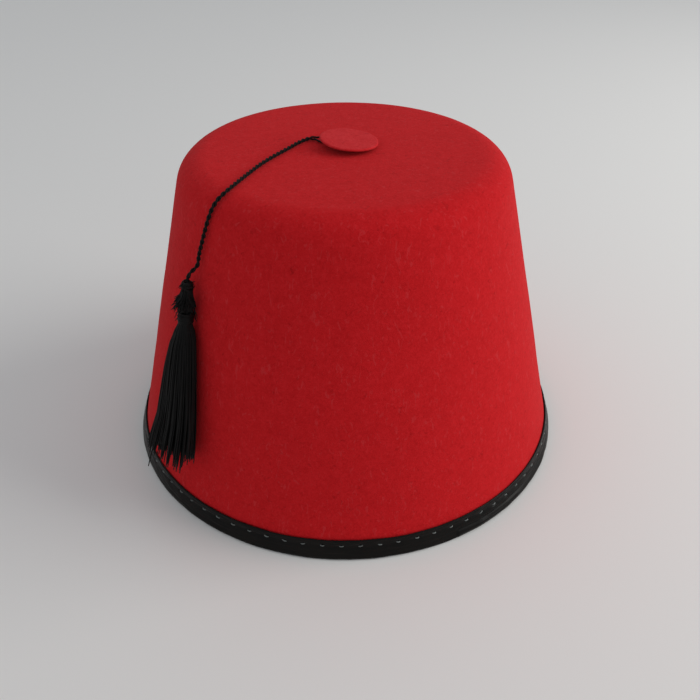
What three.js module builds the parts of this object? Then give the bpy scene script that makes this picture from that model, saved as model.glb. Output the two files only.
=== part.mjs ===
// A felt fez: a stiff tapered crown with a bound rim, a felt button on its flat top, and a cord that
// runs from under the button over the shoulder to a tassel hanging against the wall.
// Units are millimetres and +Z is up. The origin is the centre of the rim, on the surface it stands on.
// The front of the hat faces -Y, and the tassel hangs at the front left, towards -X and -Y.

import * as THREE from "three";

// ---- driving dimensions ----

const GAP = 0.3; // clearance between neighbouring pieces

const CROWN_FACETS = 72; // around the crown and the rim
const BASE_RADIUS = 92.5; // outer face of the felt, carried down to the surface
const TOP_RADIUS = 61.5; // where the wall and the top would meet without the shoulder
const HEIGHT = 123.3; // top of the felt
const SHOULDER = 11.8; // outer radius of the rounded shoulder
const FELT = 2.2;

const TAPE = 1.0; // thickness of the folded tape that binds the rim
const TAPE_OUTSIDE = 8.7; // how high the tape stands outside the wall
const TAPE_INSIDE = 8.0; // and inside it
const TAPE_CORNER = 1.2; // roundness where the tape turns under the edge
const TAPE_HEM = 0.3; // chamfer along both of its edges

const BUTTON_FACETS = 48;
const BUTTON = { x: 1.5, y: 2.2, radius: 11.2, thickness: 1.6, edge: 0.4 };
const BUTTON_TILT = THREE.MathUtils.degToRad(5.4); // its left edge rides up on the end of the cord

const CORD_DIAMETER = 1.6;
const CORD_SIDES = 8;
const CORD_STEP = 3.2; // length of one step of the tube
const CORD_IN_SKIRT = 15; // how far the cord runs on inside the tassel's skirt
const BORE_RADIUS = CORD_DIAMETER / 2 + GAP;

// The tassel hangs on the wall: how far round from the front, the height of its top, how far the
// cord down its middle is from the felt there, and how far its foot swings towards the front.
const TASSEL_FACETS = 20;
const SKIRT_FACETS = 36;
const TASSEL_AZIMUTH = THREE.MathUtils.degToRad(-48.6);
const TASSEL_TOP = 94;
const TASSEL_LIFT = 4.2;
const TASSEL_SWAY = THREE.MathUtils.degToRad(4);

// The upper pieces of the tassel, each a ring round the cord: radius at each distance below the
// tassel's top, and how far the section is pressed flat towards the wall.
const KNOT = [
  { down: 0.0, radius: 1.5, flat: 1 },
  { down: 0.8, radius: 2.2, flat: 1 },
  { down: 2.0, radius: 2.5, flat: 1 },
  { down: 3.4, radius: 2.1, flat: 1 },
];
const FRILL = [
  { down: 3.7, radius: 2.3, flat: 1 },
  { down: 5.4, radius: 3.2, flat: 1 },
  { down: 7.6, radius: 4.0, flat: 0.95 },
  { down: 10.2, radius: 4.7, flat: 0.82 },
  { down: 10.8, radius: 4.3, flat: 0.82 },
];
const TIE = [
  { down: 11.1, radius: 2.5, flat: 1 },
  { down: 12.0, radius: 2.9, flat: 1 },
  { down: 14.8, radius: 2.9, flat: 1 },
  { down: 15.7, radius: 2.6, flat: 1 },
];

// The skirt of threads: width along the wall and thickness away from it, at each distance below
// the tassel's top.
const SKIRT = [
  { down: 16.0, width: 5.6, thickness: 5.6 },
  { down: 18.5, width: 8.4, thickness: 7.4 },
  { down: 24.0, width: 12.2, thickness: 9.0 },
  { down: 33.0, width: 15.8, thickness: 10.0 },
  { down: 44.0, width: 19.0, thickness: 10.6 },
  { down: 54.0, width: 21.6, thickness: 11.0 },
  { down: 63.0, width: 23.6, thickness: 11.2 },
  { down: 68.0, width: 23.0, thickness: 10.4 },
  { down: 70.5, width: 19.0, thickness: 8.2 },
];

// The cord's centreline, from under the button's raised edge across the top, over the shoulder
// and down the wall to the tassel.
const CORD_ROUTE = [
  [-7.4, 6.2, 124.4],
  [-10.4, 7.8, 124.4],
  [-13.3, 7.6, 124.4],
  [-16.8, 4.2, 124.4],
  [-21.3, -3.0, 124.4],
  [-26.2, -10.9, 124.4],
  [-30.0, -17.8, 124.4],
  [-33.1, -25.0, 124.4],
  [-36.7, -34.0, 124.4],
  [-39.5, -39.8, 123.9],
  [-42.4, -42.8, 122.0],
  [-44.2, -44.1, 119.6],
  [-45.8, -45.1, 116.2],
  [-47.1, -45.5, 112.6],
  [-48.6, -45.7, 108.2],
  [-50.3, -46.1, 102.9],
  [-51.1, -46.9, 99.6],
];

// ---- the wall's line, seen in a section through the axis ----

const SLOPE = (BASE_RADIUS - TOP_RADIUS) / HEIGHT;
const LEAN = Math.atan(SLOPE);

// Radius, at a height, of the surface that lies a distance outside the felt's outer face.
function wallRadius(height, outside = 0) {
  return BASE_RADIUS - SLOPE * height + outside / Math.cos(LEAN);
}

// Turns a closed section, drawn as radius against height, about +Z.
function turned(points, facets) {
  return new THREE.LatheGeometry(points, facets).rotateX(Math.PI / 2);
}

// ---- materials ----

function felt() {
  return new THREE.MeshStandardMaterial({ color: 0xa31a1f, roughness: 0.95 });
}

function blackTape() {
  return new THREE.MeshStandardMaterial({ color: 0x141414, roughness: 0.5 });
}

function blackThread() {
  return new THREE.MeshStandardMaterial({ color: 0x0c0c0d, roughness: 0.7 });
}

function named(name, geometry, material) {
  const mesh = new THREE.Mesh(geometry, material);
  mesh.name = name;
  return mesh;
}

// ---- crown: one moulded shell of felt, open at the bottom ----

function crown() {
  const arcSteps = 4;
  const edge = TAPE + GAP; // the felt's cut edge sits inside the folded tape
  const arcRadius = TOP_RADIUS - SHOULDER * Math.tan((Math.PI / 2 - LEAN) / 2);
  const arcHeight = HEIGHT - SHOULDER;
  const section = new THREE.Path();
  section.moveTo(0, HEIGHT);
  section.lineTo(arcRadius, HEIGHT);
  section.absarc(arcRadius, arcHeight, SHOULDER, Math.PI / 2, LEAN, true);
  section.lineTo(wallRadius(edge), edge);
  section.lineTo(wallRadius(edge, -FELT), edge);
  section.absarc(arcRadius, arcHeight, SHOULDER - FELT, LEAN, Math.PI / 2, false);
  section.lineTo(0, HEIGHT - FELT);
  return named("crown", turned(section.getPoints(arcSteps).reverse(), CROWN_FACETS), felt());
}

// ---- binding: a tape folded under the felt's edge and up both of its sides ----

function binding() {
  const arcSteps = 2;
  const outer = GAP + TAPE; // the tape's two faces, measured out from the felt's outer face
  const inner = -(FELT + GAP + TAPE);
  const outerCorner = wallRadius(TAPE_CORNER, outer - TAPE_CORNER);
  const innerCorner = wallRadius(TAPE_CORNER, inner + TAPE_CORNER);
  const section = new THREE.Path();
  section.moveTo(wallRadius(TAPE, GAP), TAPE);
  section.lineTo(wallRadius(TAPE_OUTSIDE, GAP), TAPE_OUTSIDE);
  section.lineTo(wallRadius(TAPE_OUTSIDE, outer - TAPE_HEM), TAPE_OUTSIDE);
  section.lineTo(wallRadius(TAPE_OUTSIDE - TAPE_HEM, outer), TAPE_OUTSIDE - TAPE_HEM);
  section.absarc(outerCorner, TAPE_CORNER, TAPE_CORNER, LEAN, -Math.PI / 2, true);
  section.absarc(innerCorner, TAPE_CORNER, TAPE_CORNER, -Math.PI / 2, LEAN - Math.PI, true);
  section.lineTo(wallRadius(TAPE_INSIDE - TAPE_HEM, inner), TAPE_INSIDE - TAPE_HEM);
  section.lineTo(wallRadius(TAPE_INSIDE, inner + TAPE_HEM), TAPE_INSIDE);
  section.lineTo(wallRadius(TAPE_INSIDE, inner + TAPE), TAPE_INSIDE);
  section.lineTo(wallRadius(TAPE, inner + TAPE), TAPE);
  section.closePath();
  return named("binding", turned(section.getPoints(arcSteps).reverse(), CROWN_FACETS), blackTape());
}

// ---- button: a small disc of the same felt, tilted on the end of the cord ----

function button() {
  const { x, y, radius, thickness, edge } = BUTTON;
  const section = [
    new THREE.Vector2(0, 0),
    new THREE.Vector2(radius - edge, 0),
    new THREE.Vector2(radius, edge),
    new THREE.Vector2(radius, thickness - edge),
    new THREE.Vector2(radius - edge, thickness),
    new THREE.Vector2(0, thickness),
  ];
  const mesh = named("button", turned(section, BUTTON_FACETS), felt());
  mesh.position.set(x, y, HEIGHT + GAP + radius * Math.sin(BUTTON_TILT));
  mesh.rotation.y = BUTTON_TILT;
  return mesh;
}

// ---- tassel: modelled hanging down -Z from its top, with the wall behind it towards +Y ----

// The outside of a section turned through the rows of a table, from the bottom row up.
function outsideOf(rows, radiusOf) {
  return rows.map((row) => new THREE.Vector2(radiusOf(row), -row.down)).reverse();
}

// Hands each vertex on the outside of a turned section to reshape, with its own row of the table.
function reshapeOutside(geometry, rows, reshape) {
  const sameHeight = 0.01;
  const position = geometry.getAttribute("position");
  for (let i = 0; i < position.count; i++) {
    const x = position.getX(i);
    const y = position.getY(i);
    const row = rows.find(({ down }) => Math.abs(down + position.getZ(i)) < sameHeight);
    if (!row || Math.hypot(x, y) < BORE_RADIUS + GAP) continue;
    position.setXY(i, ...reshape(x, y, row));
  }
  return geometry;
}

// A ring round the cord.
function ringRoundCord(name, rows) {
  const top = -rows[0].down;
  const bottom = -rows.at(-1).down;
  const outside = outsideOf(rows, ({ radius }) => radius);
  const bore = [new THREE.Vector2(BORE_RADIUS, top), new THREE.Vector2(BORE_RADIUS, bottom)];
  const section = [...outside, ...bore, outside[0].clone()];
  const flatten = (x, y, { flat }) => [x, y * flat];
  const geometry = reshapeOutside(turned(section, TASSEL_FACETS), rows, flatten);
  return named(name, geometry, blackThread());
}

// The skirt is turned as a cylinder with a blind bore for the cord. Each section is then stretched
// to its own width and thickness, and moved so that its back stays clear of the wall.
function skirt() {
  const cylinder = 10;
  const top = -SKIRT[0].down;
  const bottom = -SKIRT.at(-1).down;
  const boreEnd = top - CORD_IN_SKIRT - GAP;
  const section = [
    new THREE.Vector2(0, bottom),
    ...outsideOf(SKIRT, () => cylinder),
    new THREE.Vector2(BORE_RADIUS, top),
    new THREE.Vector2(BORE_RADIUS, boreEnd),
    new THREE.Vector2(0, boreEnd),
  ];
  const stretch = (x, y, { width, thickness }) => {
    const back = Math.min(thickness / 2, TASSEL_LIFT - GAP);
    const centre = back - thickness / 2;
    return [(x / cylinder) * (width / 2), centre + (y / cylinder) * (thickness / 2)];
  };
  const geometry = reshapeOutside(turned(section, SKIRT_FACETS), SKIRT, stretch);
  return named("tassel_skirt", geometry, blackThread());
}

// The tassel's own frame: its top on the wall, leaning with the wall and swung a little sideways.
function tasselFrame() {
  const frame = new THREE.Group();
  frame.position.set(0, -wallRadius(TASSEL_TOP, TASSEL_LIFT), TASSEL_TOP);
  frame.rotation.set(-LEAN, -TASSEL_SWAY, 0);
  const turn = new THREE.Group();
  turn.rotation.z = TASSEL_AZIMUTH;
  turn.add(frame);
  turn.updateMatrixWorld(true);
  return { turn, frame };
}

// ---- cord: over the top and down the wall, then straight down inside the tassel ----

function cord(frame) {
  const end = SKIRT[0].down + CORD_IN_SKIRT;
  const hanging = [-0.8, 0.8, 2.6, end / 3, end].map((down) => new THREE.Vector3(0, 0, -down));
  const turningIn = new THREE.Vector3(0.9, 0, 3); // beside and above the knot
  const inTassel = [turningIn, ...hanging].map((point) => frame.localToWorld(point));
  const route = CORD_ROUTE.map((point) => new THREE.Vector3(...point));
  const path = new THREE.CatmullRomCurve3([...route, ...inTassel]);
  const corners = Array.from({ length: CORD_SIDES }, (_, i) => {
    const angle = (i / CORD_SIDES) * 2 * Math.PI;
    return new THREE.Vector2(Math.cos(angle), Math.sin(angle)).multiplyScalar(CORD_DIAMETER / 2);
  });
  const geometry = new THREE.ExtrudeGeometry(new THREE.Shape(corners), {
    steps: Math.round(path.getLength() / CORD_STEP),
    extrudePath: path,
    bevelEnabled: false,
  });
  return named("cord", geometry, blackThread());
}

// ---- the hat ----

const fez = new THREE.Group();
const { turn, frame } = tasselFrame();
frame.add(ringRoundCord("tassel_knot", KNOT));
frame.add(ringRoundCord("tassel_frill", FRILL));
frame.add(ringRoundCord("tassel_tie", TIE));
frame.add(skirt());
fez.add(crown(), binding(), button(), turn, cord(frame));

export default fez;
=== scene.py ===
"""The looks of a felt fez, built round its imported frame.

Lengths are written in millimetres and scaled to metres as meshes are made. +Z is up and the hat's front faces
-Y. Angles round the hat are azimuths: 0 at the front, and positive towards +X.
"""

import math

import bmesh
import bpy
import numpy as np
from mathutils import Matrix, Vector, noise

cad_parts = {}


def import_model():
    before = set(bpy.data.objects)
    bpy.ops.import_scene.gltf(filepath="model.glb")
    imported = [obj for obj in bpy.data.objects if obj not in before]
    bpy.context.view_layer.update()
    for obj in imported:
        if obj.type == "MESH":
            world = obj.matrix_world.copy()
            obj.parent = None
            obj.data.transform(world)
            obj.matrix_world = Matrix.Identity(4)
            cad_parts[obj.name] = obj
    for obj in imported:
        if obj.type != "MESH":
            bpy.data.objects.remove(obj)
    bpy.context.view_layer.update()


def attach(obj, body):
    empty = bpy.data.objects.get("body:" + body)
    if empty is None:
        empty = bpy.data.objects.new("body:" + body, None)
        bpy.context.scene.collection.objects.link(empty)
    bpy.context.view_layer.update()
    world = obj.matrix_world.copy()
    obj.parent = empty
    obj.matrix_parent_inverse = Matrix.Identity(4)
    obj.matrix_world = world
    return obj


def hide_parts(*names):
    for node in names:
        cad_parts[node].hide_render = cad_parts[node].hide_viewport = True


MM = 0.001

# The crown, as in part.mjs.
GAP = 0.3
BASE_RADIUS = 92.5
TOP_RADIUS = 61.5
HEIGHT = 123.3
SHOULDER = 11.8
FELT = 2.2
SLOPE = (BASE_RADIUS - TOP_RADIUS) / HEIGHT
LEAN = math.atan(SLOPE)

LINT_COLOUR = (0.6, 0.035, 0.04)
LINT_SHOWS = 0.5  # how much of its colour the loose lint gives the felt

TAPE = 1.0
TAPE_OUTSIDE = 8.1
TAPE_THINNING = 0.42  # how much thinner it is at its upper edge than at its fold
TAPE_INSIDE = 8.0
TAPE_CORNER = 1.2

BUTTON_CENTRE = (1.5, 2.2)
BUTTON_RADIUS = 11.2
BUTTON_THICKNESS = 1.6
BUTTON_TILT = math.radians(5.4)
BUTTON_LIP = 0.6  # how far the rim lifts clear of the disc's underside

# The cord's centreline, from under the button to the tassel, as in part.mjs.
CORD_ROUTE = [
    (-7.4, 6.2, 124.4),
    (-10.4, 7.8, 124.4),
    (-13.3, 7.6, 124.4),
    (-16.8, 4.2, 124.4),
    (-21.3, -3.0, 124.4),
    (-26.2, -10.9, 124.4),
    (-30.0, -17.8, 124.4),
    (-33.1, -25.0, 124.4),
    (-36.7, -34.0, 124.4),
    (-39.5, -39.8, 123.9),
    (-42.4, -42.8, 122.0),
    (-44.2, -44.1, 119.6),
    (-45.8, -45.1, 116.2),
    (-47.1, -45.5, 112.6),
    (-48.6, -45.7, 108.2),
    (-50.3, -46.1, 102.9),
    (-51.1, -46.9, 99.6),
]
CORD_TURNS_PER_MM = 1 / 4.6
YARN_TURNS_PER_MM = -1 / 2.1
PLY_OFFSET = 0.38
YARN_OFFSET = 0.20
YARN_RADIUS = 0.23
PLIES_PART_WITHIN = 4.6  # of the cord's end at the button
# Where each ply lies there, from the cord's middle.
PLIES_PARTED = ((0.1, 0.9, 0.15), (-0.5, -2.1, -0.45))
# Where it passes in the tassel's own frame: aside from its middle, and below its top.
CORD_IN_TASSEL = ((0.9, -3.0), (0.0, -0.8), (0.0, 0.8), (0.0, 2.6), (0.0, 10.3), (0.0, 31.0))

TASSEL_AZIMUTH = math.radians(-48.6)
TASSEL_TOP = 94.0
TASSEL_LIFT = 4.2
TASSEL_SWAY = math.radians(4)

# The skirt's width along the wall and its thickness away from it, by distance below the tassel's top.
SKIRT = [
    {"down": 10.0, "width": 3.3, "thickness": 3.3},
    {"down": 15.2, "width": 3.9, "thickness": 3.9},
    {"down": 16.6, "width": 5.9, "thickness": 5.7},
    {"down": 18.5, "width": 8.2, "thickness": 7.2},
    {"down": 24.0, "width": 11.8, "thickness": 8.8},
    {"down": 33.0, "width": 15.6, "thickness": 9.8},
    {"down": 44.0, "width": 19.0, "thickness": 10.6},
    {"down": 54.0, "width": 21.8, "thickness": 11.6},
    {"down": 63.0, "width": 24.6, "thickness": 13.4},
    {"down": 74.0, "width": 26.8, "thickness": 15.6},
]

SKIRT_THREADS = 460
SKIRT_LOCKS = 64
SKIRT_START = 10.2
SKIRT_END = 66.5
SKIRT_THREAD_RADIUS = 0.26
LOCK_PULL = 0.62  # how far a thread's end is drawn towards the middle of its lock
# One thread in STRAY_EVERY hangs clear of its lock, and lower than the others.
STRAY_EVERY = 58
STRAY_LONGER = 4.5

# The frill's threads: how many there are of each kind. Tufts stand out of the knot, and the core fills the
# neck.
FRILL_KINDS = {"frayed": 250, "wisp": 26, "tuft": 22, "core": 60}
FRILL_THREAD_RADIUS = 0.19

KNOT_THREAD_RADIUS = 0.5
TIE_TURNS = 8
TIE_THREAD_RADIUS = 0.33

STITCH_HEIGHT = 5.7
STITCHES = 80
STITCH_LENGTH = 1.7
STITCH_THREAD = 0.55

# Between these azimuths the tape's end is lapped over its start.
JOINT_AZIMUTH = math.radians(27)
JOINT_END = math.radians(78)

# The camera stands in front of the hat and looks down at it.
CAMERA_PLACE = (0.0, -275.4, 228.7)
CAMERA_DOWN = math.radians(35.92)
CAMERA_HEADING = math.radians(0.4)
CAMERA_LENS = 38.8

# A window low on the right, a dim even room, and the floor.
WINDOW_PLACE = (1020, -20, 600)
WINDOW_SIZE = 900
WINDOW_WATTS = 7.1
WINDOW_COLOUR = (1.0, 0.98, 0.95)
ROOM_COLOUR = (0.93, 0.96, 1.0, 1)
ROOM_STRENGTH = 0.5
FLOOR_HALF = 2500
FLOOR_COLOUR = (0.84, 0.83, 0.81, 1)


# ---------------------------------------------------------------- geometry helpers


def wall_radius(height, outside=0.0):
    """Radius at a height of the surface that lies a distance outside the felt's outer face."""
    return BASE_RADIUS - SLOPE * height + outside / math.cos(LEAN)


def round_hat(azimuth, radius, height):
    """The point at an azimuth, radius and height."""
    return np.stack([radius * np.sin(azimuth), -radius * np.cos(azimuth), height + 0 * azimuth], axis=-1)


def add_mesh(name, points, faces, material, outward=True):
    """A smooth-shaded mesh object from points in millimetres."""
    mesh = bpy.data.meshes.new(name)
    mesh.from_pydata((np.asarray(points) * MM).tolist(), [], faces)
    if outward:
        shape = bmesh.new()
        shape.from_mesh(mesh)
        bmesh.ops.recalc_face_normals(shape, faces=shape.faces)
        shape.to_mesh(mesh)
        shape.free()
    mesh.polygons.foreach_set("use_smooth", np.ones(len(mesh.polygons), bool))
    mesh.materials.append(material)
    piece = bpy.data.objects.new(name, mesh)
    bpy.context.scene.collection.objects.link(piece)
    return piece


def ring_faces(rows, columns, first=0):
    """Quads between successive rows of a surface that closes on itself round its columns."""
    row = np.arange(rows - 1)[:, None] * columns + first
    column = np.arange(columns)[None, :]
    beside = (column + 1) % columns
    quads = np.stack([row + column, row + beside, row + columns + beside, row + columns + column], axis=-1)
    return quads.reshape(-1, 4).tolist()


def turned_shell(name, rows, material):
    """A closed skin from rows of points, each row a ring, with a point on the axis at either end."""
    rows = np.asarray(rows)
    count, columns, _ = rows.shape
    first, last = rows[0].mean(axis=0), rows[-1].mean(axis=0)
    points = np.concatenate([rows.reshape(-1, 3), [first, last]])
    faces = ring_faces(count, columns)
    start, end = count * columns, count * columns + 1
    for i in range(columns):
        beside = (i + 1) % columns
        faces.append([start, beside, i])
        faces.append([end, (count - 1) * columns + i, (count - 1) * columns + beside])
    return add_mesh(name, points, faces, material)


def turned_ring(name, rows, material):
    """A closed skin from rows of points, each row a ring, where the last row joins the first."""
    rows = np.asarray(rows)
    count, columns, _ = rows.shape
    looped = np.concatenate([rows, rows[:1]])
    faces = np.asarray(ring_faces(count + 1, columns)) % (count * columns)
    return add_mesh(name, looped[:-1].reshape(-1, 3), faces.tolist(), material)


def unit(vectors):
    return vectors / np.maximum(np.linalg.norm(vectors, axis=-1, keepdims=True), 1e-12)


def tubes(name, paths, radii, sides, material):
    """Closed round strands as one mesh. paths is (strands, points, 3) and radii (strands, points)."""
    paths = np.asarray(paths, float)
    radii = np.broadcast_to(np.asarray(radii, float), paths.shape[:2])
    strands, count, _ = paths.shape
    along = unit(np.gradient(paths, axis=1))
    helper = np.where(np.abs(along[:, 0, 2:3]) < 0.8, [[0.0, 0.0, 1.0]], [[1.0, 0.0, 0.0]])
    across = np.empty_like(paths)
    across[:, 0] = unit(np.cross(along[:, 0], helper))
    for i in range(1, count):
        before = across[:, i - 1]
        lean = (before * along[:, i]).sum(axis=-1, keepdims=True)
        across[:, i] = unit(before - lean * along[:, i])
    aside = np.cross(along, across)
    angle = np.arange(sides) * 2 * math.pi / sides
    ring = np.cos(angle)[:, None] * across[:, :, None] + np.sin(angle)[:, None] * aside[:, :, None]
    points = paths[:, :, None] + radii[:, :, None, None] * ring
    one = np.asarray(ring_faces(count, sides))
    starts = np.arange(strands)[:, None, None] * count * sides
    faces = (one[None] + starts).reshape(-1, 4).tolist()
    for strand in range(strands):
        start = strand * count * sides
        faces.append([start + i for i in reversed(range(sides))])
        faces.append([start + (count - 1) * sides + i for i in range(sides)])
    return add_mesh(name, points.reshape(-1, 3), faces, material, outward=False)


def through(points, step):
    """A centripetal Catmull-Rom curve through the points, resampled at an even step."""
    points = np.asarray(points, float)
    ends = [2 * points[0] - points[1], *points, 2 * points[-1] - points[-2]]
    fine = []
    for p0, p1, p2, p3 in zip(ends, ends[1:], ends[2:], ends[3:]):
        d0, d1, d2 = (math.sqrt(np.linalg.norm(b - a)) for a, b in ((p0, p1), (p1, p2), (p2, p3)))
        leave = ((p1 - p0) / d0 - (p2 - p0) / (d0 + d1) + (p2 - p1) / d1) * d1
        reach = ((p2 - p1) / d1 - (p3 - p1) / (d1 + d2) + (p3 - p2) / d2) * d1
        t = np.linspace(0, 1, 24, endpoint=False)[:, None]
        fine.append(
            (2 * t**3 - 3 * t**2 + 1) * p1
            + (t**3 - 2 * t**2 + t) * leave
            + (3 * t**2 - 2 * t**3) * p2
            + (t**3 - t**2) * reach
        )
    fine = np.concatenate([*fine, points[-1:]])
    travelled = np.concatenate([[0], np.cumsum(np.linalg.norm(np.diff(fine, axis=0), axis=1))])
    even = np.linspace(0, travelled[-1], max(2, round(travelled[-1] / step) + 1))
    return np.stack([np.interp(even, travelled, fine[:, i]) for i in range(3)], axis=-1)


def tassel_matrix():
    """From the tassel's own frame, hanging down -Z with the wall towards +Y, to the hat's."""
    turn = Matrix.Rotation(TASSEL_AZIMUTH, 3, "Z")
    lean = Matrix.Rotation(-LEAN, 3, "X") @ Matrix.Rotation(-TASSEL_SWAY, 3, "Y")
    top = turn @ Vector((0, -wall_radius(TASSEL_TOP, TASSEL_LIFT), TASSEL_TOP))
    return np.array(turn @ lean), np.array(top)


def hang(points):
    """Points of the tassel's own frame, as (aside, towards the wall, down), in the hat's frame."""
    turn, top = tassel_matrix()
    local = np.asarray(points, float) * (1, 1, -1)
    return local @ turn.T + top


def lumps(points, size, seed):
    """Smooth noise from -1 to 1 at each point, with lumps of about that size."""
    shift = Vector((seed * 17.3, seed * 5.1, seed * 11.7))
    flat = np.asarray(points).reshape(-1, 3)
    found = [noise.noise(Vector(point) / size + shift) for point in flat]
    return np.asarray(found).reshape(np.asarray(points).shape[:-1])


# ---------------------------------------------------------------- materials


class Nodes:
    """A small helper that adds and links shader nodes in one material."""

    def __init__(self, name):
        self.material = bpy.data.materials.new(name)
        self.material.use_nodes = True
        self.tree = self.material.node_tree
        self.shader = self.tree.nodes["Principled BSDF"]

    def add(self, kind, settings=None, **inputs):
        node = self.tree.nodes.new(kind)
        for key, value in (settings or {}).items():
            setattr(node, key, value)
        for key, value in inputs.items():
            self.put(node.inputs[key.replace("_", " ")], value)
        return node

    def put(self, socket, value):
        if isinstance(value, bpy.types.NodeSocket):
            self.tree.links.new(value, socket)
        else:
            socket.default_value = value

    def coordinates(self, scale=(1, 1, 1)):
        place = self.add("ShaderNodeTexCoord").outputs["Object"]
        return self.add("ShaderNodeMapping", Vector=place, Scale=scale).outputs["Vector"]

    def noise(self, vector, scale, detail=3.0, roughness=0.5, distortion=0.0, kind="FBM"):
        node = self.add("ShaderNodeTexNoise", {"noise_type": kind}, Vector=vector, Scale=scale)
        node.inputs["Detail"].default_value = detail
        node.inputs["Roughness"].default_value = roughness
        node.inputs["Distortion"].default_value = distortion
        return node.outputs["Fac"]

    def ramp(self, value, *stops):
        node = self.add("ShaderNodeValToRGB", Fac=value)
        elements = node.color_ramp.elements
        while len(elements) < len(stops):
            elements.new(0.5)
        for element, (place, colour) in zip(elements, stops):
            element.position = place
            element.color = (*colour, 1) if len(colour) == 3 else colour
        return node.outputs["Color"]

    def band(self, value, low, high, out_low=0.0, out_high=1.0):
        node = self.add("ShaderNodeMapRange", Value=value)
        for key, number in (("From Min", low), ("From Max", high), ("To Min", out_low), ("To Max", out_high)):
            node.inputs[key].default_value = number
        return node.outputs["Result"]

    def math(self, operation, a, b=0.0):
        node = self.add("ShaderNodeMath", {"operation": operation})
        self.put(node.inputs[0], a)
        self.put(node.inputs[1], b)
        return node.outputs["Value"]

    def mix(self, a, b, factor, blend="MIX"):
        node = self.add("ShaderNodeMix", {"data_type": "RGBA", "blend_type": blend})
        self.put(node.inputs["Factor"], factor)
        self.put(node.inputs["A"], a)
        self.put(node.inputs["B"], b)
        return node.outputs["Result"]

    def bump(self, height, distance, strength=1.0, normal=None):
        node = self.add("ShaderNodeBump", Height=height, Distance=distance, Strength=strength)
        if normal is not None:
            self.put(node.inputs["Normal"], normal)
        return node.outputs["Normal"]

    def finish(self, **inputs):
        for key, value in inputs.items():
            self.put(self.shader.inputs[key.replace("_", " ")], value)
        return self.material


def felt_material(name, dark, red, bright):
    """Red pressed felt: matted fibres, faint mottling, a soft nap and a little pale lint."""
    m = Nodes(name)
    place = m.coordinates()
    drawn_out = m.coordinates((1, 1, 0.35))
    lint = m.noise(drawn_out, 560, detail=2, roughness=0.5, distortion=1.5)
    matted = m.noise(place, 1000, detail=5, roughness=0.62, distortion=0.8)
    fibres = m.noise(place, 560, detail=4, roughness=0.6, distortion=2.0, kind="RIDGED_MULTIFRACTAL")
    mottled = m.noise(place, 260, detail=3, roughness=0.55)
    cloudy = m.noise(place, 24, detail=2)
    flecked = m.noise(place, 430, detail=2, roughness=0.5, distortion=1.2)
    colour = m.ramp(matted, (0.28, dark), (0.52, red), (0.78, bright))
    colour = m.mix(colour, m.ramp(mottled, (0.2, dark), (0.5, red), (0.85, bright)), 0.35)
    clouds = m.ramp(cloudy, (0.25, (0.95, 0.95, 0.95)), (0.75, (1, 1, 1)))
    colour = m.mix(colour, clouds, 1.0, blend="MULTIPLY")
    flecks = m.ramp(flecked, (0.27, (0.82, 0.76, 0.76)), (0.36, (1, 1, 1)))
    colour = m.mix(colour, flecks, 1.0, blend="MULTIPLY")
    colour = m.mix(colour, (*LINT_COLOUR, 1), m.band(lint, 0.6, 0.7, 0.0, LINT_SHOWS))
    relief = m.math("ADD", matted, m.math("MULTIPLY", fibres, 0.35))
    relief = m.math("ADD", relief, m.math("MULTIPLY", mottled, 0.6))
    return m.finish(
        Base_Color=colour,
        Roughness=0.95,
        Specular_IOR_Level=0.07,
        Sheen_Weight=0.06,
        Sheen_Roughness=0.5,
        Sheen_Tint=(1.0, 0.45, 0.45, 1.0),
        Normal=m.bump(relief, 0.00030, 0.45),
    )


def tape_material():
    """Black coated tape: satin, with a fine grain and rubbed patches."""
    m = Nodes("black_tape")
    place = m.coordinates()
    grain = m.noise(place, 1400, detail=3, roughness=0.6)
    rubbed = m.noise(place, 60, detail=3)
    colour = m.ramp(rubbed, (0.3, (0.0027, 0.0023, 0.0019)), (0.75, (0.0066, 0.0054, 0.0042)))
    return m.finish(
        Base_Color=colour,
        Roughness=m.band(rubbed, 0.3, 0.7, 0.30, 0.44),
        Specular_IOR_Level=0.13,
        Normal=m.bump(grain, 0.00006, 0.5),
    )


def thread_material(name, plain, roughness, gloss):
    """Thread with a fine twist, patchy colour and a dull shine."""
    m = Nodes(name)
    place = m.coordinates()
    fine = m.noise(place, 2600, detail=2, roughness=0.6)
    patchy = m.noise(place, 180, detail=2)
    light = tuple(1.9 * value for value in plain)
    colour = m.ramp(patchy, (0.3, plain), (0.8, light))
    return m.finish(
        Base_Color=colour,
        Roughness=roughness,
        Specular_IOR_Level=gloss,
        Normal=m.bump(fine, 0.00005, 0.6),
    )


def floor_material():
    m = Nodes("pale_floor")
    return m.finish(Base_Color=FLOOR_COLOUR, Roughness=0.9, Specular_IOR_Level=0.2)


# ---------------------------------------------------------------- crown


def crown_profile():
    """(radius, height) down the felt's outside from the top's centre, round its cut edge and up inside."""
    turn = math.pi / 2 - LEAN
    arc_radius = TOP_RADIUS - SHOULDER * math.tan(turn / 2)
    arc_height = HEIGHT - SHOULDER
    foot = TAPE + GAP

    def arc(radius, steps):
        angles = np.linspace(math.pi / 2, LEAN, steps)
        return [(arc_radius + radius * math.cos(a), arc_height + radius * math.sin(a)) for a in angles]

    outer_arc, inner_arc = arc(SHOULDER, 16), arc(SHOULDER - FELT, 10)
    top = [(radius, HEIGHT) for radius in np.linspace(0.8, outer_arc[0][0], 36, endpoint=False)]
    wall_top, inner_top = outer_arc[-1][1], inner_arc[-1][1]
    wall = [(wall_radius(h), h) for h in np.linspace(wall_top, foot, 64)[1:]]
    inside = [(wall_radius(h, -FELT), h) for h in np.linspace(foot, inner_top, 30)[:-1]]
    ceiling = np.linspace(inner_arc[0][0], 0.8, 14)[1:]
    under = [(radius, HEIGHT - FELT) for radius in ceiling]
    return [*top, *outer_arc, *wall, *inside, *reversed(inner_arc), *under]


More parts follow.
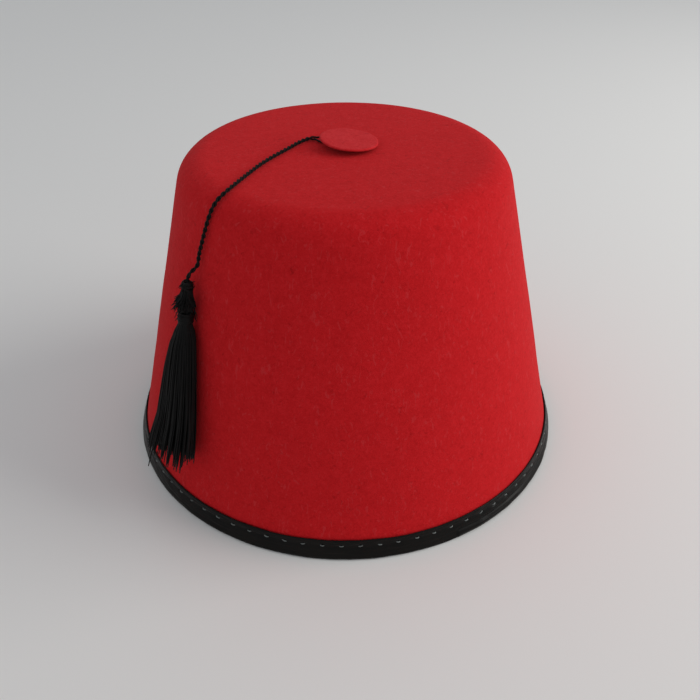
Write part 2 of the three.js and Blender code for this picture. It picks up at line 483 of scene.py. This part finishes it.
def make_crown(felt):
    columns = 320
    profile = np.asarray(crown_profile())
    azimuth = np.arange(columns) * 2 * math.pi / columns
    radius, height = profile[:, :1], profile[:, 1:]
    rows = round_hat(azimuth[None, :] + 0 * radius, radius + 0 * azimuth, height + 0 * azimuth)
    broad, near = lumps(rows, 38, 1), lumps(rows, 11, 2)
    shift = 0.28 * broad + 0.07 * near
    hidden = np.clip((height - 9) / 8, 0, 1)
    steep = np.clip((HEIGHT - 3 - height) / SHOULDER, 0, 1)
    away = round_hat(azimuth[None, :] + 0 * radius, np.ones_like(radius) + 0 * azimuth, 0 * radius)
    rows = rows + away * (shift * hidden * steep)[..., None]
    rows[..., 2] += 0.5 * shift * hidden * (1 - steep)
    return turned_shell("crown_felt", rows, felt)


# ---------------------------------------------------------------- binding and its stitches


def stitch_azimuths():
    return np.radians(-1.2) + np.arange(STITCHES) * 2 * math.pi / STITCHES


def tape_relief(azimuth, height):
    """How far the tape's outer face stands out of its plain form, at each azimuth and height."""
    pitch = 2 * math.pi / STITCHES
    round_from_stitch = (azimuth - stitch_azimuths()[0] + pitch / 2) % pitch - pitch / 2
    along = round_from_stitch * BASE_RADIUS
    across = height - STITCH_HEIGHT
    groove = -0.16 * np.exp(-((across / 0.8) ** 2))
    dimple = -0.30 * np.exp(-((along / 1.1) ** 2) - (across / 0.75) ** 2)
    pucker = 0.10 * np.exp(-(((height - 7.9) / 1.0) ** 2)) * np.cos(azimuth * STITCHES + math.pi)
    fold = np.clip((azimuth - JOINT_AZIMUTH) / 0.006, 0, 1) * np.clip((JOINT_END - azimuth) / 0.3, 0, 1)
    lap = 0.50 * fold * np.exp(-(((height - 2.0) / 1.1) ** 2))
    crease = -0.26 * fold * np.exp(-(((height - 3.6) / 0.35) ** 2))
    thinning = -TAPE_THINNING * np.clip((height - 1.5) / 4.5, 0, 1)
    return groove + dimple + pucker + lap + crease + thinning


def tape_wrinkles(azimuth, height):
    """Long shallow wrinkles that run along the tape."""
    stretched = round_hat(azimuth, BASE_RADIUS / 9, height / 0.9)
    return 0.13 * lumps(stretched, 1.0, 8) + 0.07 * lumps(stretched, 0.45, 9)


def make_binding(tape):
    columns = 960
    azimuth = np.arange(columns) * 2 * math.pi / columns
    azimuth = np.where(azimuth > math.pi, azimuth - 2 * math.pi, azimuth)
    outer, inner = GAP + TAPE, -(FELT + GAP + TAPE)
    wave = lumps(round_hat(azimuth, BASE_RADIUS, 0.0), 14, 3)
    ripple = lumps(round_hat(azimuth, BASE_RADIUS, 40.0), 5, 4)
    lift = 0.28 * wave + 0.10 * ripple
    rows = []

    def row(outside, height, follow=0.0, relief=0.0):
        tall = height + follow * lift
        out = outside + relief * (tape_relief(azimuth, tall) + tape_wrinkles(azimuth, tall) + 0.10 * ripple)
        rows.append(round_hat(azimuth, wall_radius(tall, out), tall))

    row(GAP, TAPE)
    for height in np.linspace(TAPE, TAPE_OUTSIDE - 0.35, 5)[1:]:
        row(GAP, height, follow=(height - TAPE) / (TAPE_OUTSIDE - TAPE))
    for angle in np.linspace(math.pi, 0, 8):
        half = (TAPE - TAPE_THINNING) / 2
        row(GAP + half + half * math.cos(angle), TAPE_OUTSIDE - 0.35 + 0.35 * math.sin(angle), follow=1.0)
    for height in np.linspace(TAPE_OUTSIDE - 0.6, TAPE_CORNER, 28):
        share = (height - TAPE_CORNER) / (TAPE_OUTSIDE - TAPE_CORNER)
        row(outer, height, follow=share, relief=1.0)
    for angle in np.linspace(0, math.pi / 2, 9)[1:]:
        out = outer - TAPE_CORNER * (1 - math.cos(angle))
        row(out, TAPE_CORNER * (1 - math.sin(angle)), relief=math.cos(angle))
    for angle in np.linspace(math.pi / 2, 0, 7):
        out = inner + TAPE_CORNER * (1 - math.cos(angle))
        row(out, TAPE_CORNER * (1 - math.sin(angle)))
    for height in np.linspace(TAPE_CORNER, TAPE_INSIDE - 0.35, 12)[1:]:
        row(inner, height)
    for angle in np.linspace(math.pi, 0, 7):
        half = TAPE / 2
        row(inner + half + half * math.cos(angle), TAPE_INSIDE - 0.35 + 0.35 * math.sin(angle))
    for height in np.linspace(TAPE_INSIDE - 0.6, TAPE, 4):
        row(inner + TAPE, height)
    return turned_ring("binding_tape", rows, tape)


def make_stitches(thread):
    """Short stitches that dip into the tape at both ends, outside and inside."""
    chance = np.random.default_rng(7)
    paths = []
    across = np.linspace(-1, 1, 9)
    for azimuth in stitch_azimuths():
        for outside, sign in ((GAP + TAPE, 1), (-(FELT + GAP + TAPE), -1)):
            centre = azimuth + chance.normal(0, 0.0012)
            slant = chance.normal(0, 0.12)
            length = STITCH_LENGTH * chance.uniform(0.85, 1.15) * (1 if sign > 0 else 1.6)
            around = centre + across * length / 2 / BASE_RADIUS
            height = STITCH_HEIGHT + across * slant
            hump = 0.28 - 0.62 * np.abs(across) ** 2.5
            relief = tape_relief(around, height) if sign > 0 else 0.0
            out = outside + sign * (hump - 0.05) + relief
            radius = BASE_RADIUS - SLOPE * height + out / math.cos(LEAN)
            paths.append(round_hat(around, radius, height))
    return tubes("binding_stitches", paths, STITCH_THREAD / 2, 6, thread)


# ---------------------------------------------------------------- button


def make_button(felt):
    """A disc cut from the same felt, lying tilted on the cord's end."""
    columns = 144
    edge = 0.7
    azimuth = np.arange(columns) * 2 * math.pi / columns
    cut = 1 + 0.012 * lumps(round_hat(azimuth, 6.0, 0.0), 3.2, 5)
    cut = cut + 0.006 * lumps(round_hat(azimuth, 6.0, 9.0), 1.1, 6)
    half = (BUTTON_THICKNESS - BUTTON_LIP) / 2
    profile = [(r, BUTTON_THICKNESS) for r in np.linspace(0.4, BUTTON_RADIUS - edge, 22)]
    for angle in np.linspace(math.pi / 2, -math.pi / 2, 11)[1:-1]:
        out = BUTTON_RADIUS - edge + edge * math.cos(angle)
        profile.append((out, BUTTON_LIP + half + half * math.sin(angle)))
    for r in np.linspace(BUTTON_RADIUS - edge, 0.4, 20):
        profile.append((r, BUTTON_LIP * np.clip((r - 6.5) / 3.5, 0, 1) ** 2))
    radius = np.asarray(profile)[:, :1]
    height = np.asarray(profile)[:, 1:]
    share = radius / BUTTON_RADIUS
    rows = round_hat(azimuth[None, :] + 0 * radius, radius * (1 + share**2 * (cut - 1)), height + 0 * azimuth)
    rows[..., 2] += 0.12 * lumps(rows * (1, 1, 0), 6, 7) * np.clip(height / BUTTON_THICKNESS, 0.3, 1)
    tilt = np.array(Matrix.Rotation(BUTTON_TILT, 3, "Y"))
    rise = HEIGHT + GAP + BUTTON_RADIUS * math.sin(BUTTON_TILT)
    return turned_shell("button_felt", rows @ tilt.T + (*BUTTON_CENTRE, rise), felt)


# ---------------------------------------------------------------- cord


def cord_centreline():
    in_tassel = hang([(aside, 0, down) for aside, down in CORD_IN_TASSEL])
    return through([*CORD_ROUTE, *in_tassel], 0.3)


def make_cord(thread, centreline):
    """Two plies twisted together, each of three yarns twisted the other way, that part at the button."""
    along = unit(np.gradient(centreline, axis=0))
    side = unit(np.cross(along, [0.0, 0.0, 1.0]) + 1e-6)
    up = np.cross(side, along)
    travelled = np.concatenate([[0], np.cumsum(np.linalg.norm(np.diff(centreline, axis=0), axis=1))])
    apart = np.exp(-((travelled / PLIES_PART_WITHIN) ** 4))[:, None]
    paths = []
    for ply in range(2):
        angle = 2 * math.pi * travelled * CORD_TURNS_PER_MM + ply * math.pi
        swirl = np.cos(angle)[:, None] * side + np.sin(angle)[:, None] * up
        middle = centreline + PLY_OFFSET * (1 - apart) * swirl + apart * np.asarray(PLIES_PARTED[ply])
        for yarn in range(3):
            around = 2 * math.pi * (travelled * YARN_TURNS_PER_MM + yarn / 3)
            twist = np.cos(around)[:, None] * side + np.sin(around)[:, None] * up
            paths.append(middle + YARN_OFFSET * twist)
    return tubes("cord_twist", paths, YARN_RADIUS, 6, thread)


# ---------------------------------------------------------------- tassel


def make_knot(thread):
    """The cord's knot: turns that close over each other round the cord, with two loops across them."""
    t = np.linspace(0, 1, 170)
    coil = 2 * math.pi * 3.6 * t
    reach = 0.80 + 0.75 * np.sin(math.pi * t) ** 0.8
    wound = np.stack([reach * np.cos(coil) - 0.1, reach * np.sin(coil), 0.2 + 3.0 * t], axis=-1)
    loops = [wound]
    for slope, turn, width in ((0.95, 0.4, 1.55), (-0.8, 2.1, 1.45)):
        around = 2 * math.pi * t * 0.96 + turn
        aside = width * np.cos(around)
        down = 1.7 + slope * aside + 0.25 * np.sin(2 * around)
        loops.append(np.stack([aside - 0.1, 1.15 * width * np.sin(around), down], axis=-1))
    return tubes("tassel_knot_thread", hang(loops), KNOT_THREAD_RADIUS, 8, thread)


def make_frill(thread):
    """Frayed ends that stand out below the knot, a few wisps among them, and a core that fills the neck."""
    chance = np.random.default_rng(21)
    t = np.linspace(0, 1, 10)
    paths = []
    for kind, count in FRILL_KINDS.items():
        for _ in range(count):
            angle = chance.uniform(0, 2 * math.pi)
            near_wall = math.sin(angle) > 0
            start, top, curl = 1.3 + 0.6 * chance.random(), 2.9 + chance.uniform(-0.4, 0.9), 0.5
            length, flare = chance.uniform(4.6, 8.0), chance.uniform(0.4, 3.4)
            if kind == "wisp":
                length, flare, curl = chance.uniform(7.5, 12.5), chance.uniform(1.5, 4.2), 1.2
            if kind == "tuft":
                top, length, flare, curl = chance.uniform(0.4, 2.4), chance.uniform(-1.6, 1.8), 1.3, 1.0
            if kind == "core":
                start, top, length, flare, curl = 1.75 * math.sqrt(chance.random()), 3.5, 8.4, 0.3, 0.3
            flare = flare * (0.55 if near_wall else 1.0)
            turn = angle + chance.uniform(-curl, curl) * t**2
            out = start + flare * t**1.5
            down = top + length * t - 0.25 * flare * t**2
            droop = 0.25 * chance.normal(0, 1, (2, 1)) * t**2
            place = [out * np.cos(turn) + droop[0], out * np.sin(turn) + droop[1], down]
            paths.append(np.stack(place, axis=-1))
    paths = np.asarray(paths)
    paths[..., 1] = np.minimum(paths[..., 1], TASSEL_LIFT - GAP - 0.2)
    radii = FRILL_THREAD_RADIUS * (1 - 0.45 * t**4)
    return tubes("tassel_frill_threads", hang(paths), radii[None, :], 5, thread)


def make_tie(thread):
    """Thread wound tightly round the neck."""
    t = np.linspace(0, 1, TIE_TURNS * 26)
    angle = 2 * math.pi * TIE_TURNS * t
    reach = 2.42 + 0.22 * np.sin(math.pi * t) + 0.07 * np.sin(angle * 0.37)
    down = 11.3 + 4.2 * t + 0.10 * np.sin(angle + 0.4)
    wound = np.stack([reach * np.cos(angle), reach * np.sin(angle), down], axis=-1)
    return tubes("tassel_tie_thread", hang([wound]), TIE_THREAD_RADIUS, 7, thread)


def skirt_size(down):
    """The skirt's width, thickness and middle, at distances below the tassel's top."""
    rows = [row["down"] for row in SKIRT]
    width = np.interp(down, rows, [row["width"] for row in SKIRT])
    thickness = np.interp(down, rows, [row["thickness"] for row in SKIRT])
    back = np.minimum(thickness / 2, TASSEL_LIFT - GAP)
    return width, thickness, back - thickness / 2


def make_skirt(thread):
    """Long loose threads that gather in locks, hang along the wall and end raggedly."""
    chance = np.random.default_rng(33)
    golden = math.pi * (3 - math.sqrt(5))
    t = np.linspace(0, 1, 28) ** 0.85
    lock_turn = np.arange(SKIRT_LOCKS) * golden + 0.5 * chance.normal(0, 1, SKIRT_LOCKS)
    lock_reach = np.sqrt((np.arange(SKIRT_LOCKS) + 0.5) / SKIRT_LOCKS)
    lock_place = np.stack([lock_reach * np.cos(lock_turn), lock_reach * np.sin(lock_turn)], axis=-1)
    lock_sway = chance.normal(0, 1, (SKIRT_LOCKS, 4))
    paths, radii = [], []
    for i in range(SKIRT_THREADS):
        reach = math.sqrt((i + 0.5) / SKIRT_THREADS)
        u, v = reach * math.cos(i * golden), reach * math.sin(i * golden)
        lock = int(np.argmin(((lock_place - (u, v)) ** 2).sum(axis=1)))
        stray = i % STRAY_EVERY == STRAY_EVERY - 1
        gather = 0.0 if stray else LOCK_PULL * t**2.2
        own_u = u + (lock_place[lock, 0] - u) * gather
        own_v = v + (lock_place[lock, 1] - v) * gather
        end = SKIRT_END + 1.9 * lock_sway[lock, 2] + chance.normal(0, 1.3) - 1.2 * u
        if stray:
            end = end + STRAY_LONGER
        down = SKIRT_START + (end - SKIRT_START) * t
        width, thickness, middle = skirt_size(down)
        wave = 0.38 * lock_sway[lock, 0] * np.sin(3.2 * t + lock_sway[lock, 1])
        wave = wave + 0.20 * chance.normal() * np.sin(7 * t + chance.uniform(0, 6))
        splay = 0.5 * lock_sway[lock, 3] * t**3
        x = own_u * width / 2 * 0.97 + (wave + splay) * t * 1.2
        y = middle + own_v * (thickness / 2 - 0.3) + 0.25 * chance.normal() * np.sin(5 * t) * t
        y = y - 0.5 * np.abs(splay)
        paths.append(np.stack([x, np.minimum(y, TASSEL_LIFT - GAP - 0.3), down], axis=-1))
        radii.append(SKIRT_THREAD_RADIUS * (1 - 0.3 * t**10))
    return tubes("tassel_skirt_threads", hang(paths), radii, 5, thread)


# ---------------------------------------------------------------- stage


def aim(item, place, direction):
    item.location = Vector(place) * MM
    item.rotation_euler = Vector(direction).to_track_quat("-Z", "Y").to_euler()


def make_camera():
    data = bpy.data.cameras.new("camera")
    data.lens = CAMERA_LENS
    data.sensor_width = 36
    data.clip_start = 0.01
    camera = bpy.data.objects.new("camera", data)
    bpy.context.scene.collection.objects.link(camera)
    bpy.context.scene.camera = camera
    flat = math.cos(CAMERA_DOWN)
    ahead = (flat * math.sin(CAMERA_HEADING), flat * math.cos(CAMERA_HEADING), -math.sin(CAMERA_DOWN))
    aim(camera, CAMERA_PLACE, ahead)


def make_light(name, place, target, size, power, colour):
    data = bpy.data.lights.new(name, "AREA")
    data.shape = "DISK"
    data.size = size * MM
    data.energy = power
    data.color = colour
    light = bpy.data.objects.new(name, data)
    bpy.context.scene.collection.objects.link(light)
    aim(light, place, Vector(target) - Vector(place))


def make_stage():
    corners = [(x * FLOOR_HALF, y * FLOOR_HALF, 0) for x, y in ((-1, -1), (1, -1), (1, 1), (-1, 1))]
    floor = add_mesh("floor", corners, [[0, 1, 2, 3]], floor_material(), outward=False)
    world = bpy.data.worlds.new("studio")
    bpy.context.scene.world = world
    world.use_nodes = True
    background = world.node_tree.nodes["Background"]
    background.inputs["Color"].default_value = ROOM_COLOUR
    background.inputs["Strength"].default_value = ROOM_STRENGTH
    middle = (0, 0, HEIGHT / 2)
    make_light("window", WINDOW_PLACE, middle, WINDOW_SIZE, WINDOW_WATTS, WINDOW_COLOUR)
    bpy.context.scene.view_settings.view_transform = "Standard"


# ---------------------------------------------------------------- the hat


def main():
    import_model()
    make_camera()
    make_stage()

    felt = felt_material("red_felt", (0.47, 0.0070, 0.0095), (0.585, 0.0105, 0.014), (0.67, 0.020, 0.026))
    pale_felt = felt_material("button_felt", (0.49, 0.012, 0.016), (0.61, 0.022, 0.027), (0.70, 0.045, 0.052))
    tape = tape_material()
    cord_thread = thread_material("cord_thread", (0.0042, 0.0032, 0.0028), 0.6, 0.16)
    tassel_thread = thread_material("tassel_thread", (0.0030, 0.0028, 0.0027), 0.5, 0.16)
    stitch_thread = thread_material("stitch_thread", (0.085, 0.092, 0.088), 0.3, 0.6)

    centreline = cord_centreline()
    cord = make_cord(cord_thread, centreline)
    knot = make_knot(cord_thread)
    frill = make_frill(tassel_thread)
    tie = make_tie(tassel_thread)
    skirt = make_skirt(tassel_thread)
    stood_for = {
        "crown": ("felt", make_crown(felt)),
        "button": ("felt", make_button(pale_felt)),
        "binding": ("binding_tape", make_binding(tape)),
        "cord": ("thread", cord),
        "tassel_knot": ("thread", knot),
        "tassel_frill": ("thread", frill),
        "tassel_tie": ("thread", tie),
        "tassel_skirt": ("thread", skirt),
    }
    for node, (slot, piece) in stood_for.items():
        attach(piece, "root")
        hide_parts(node)
    stitches = make_stitches(stitch_thread)
    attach(stitches, "root")


main()
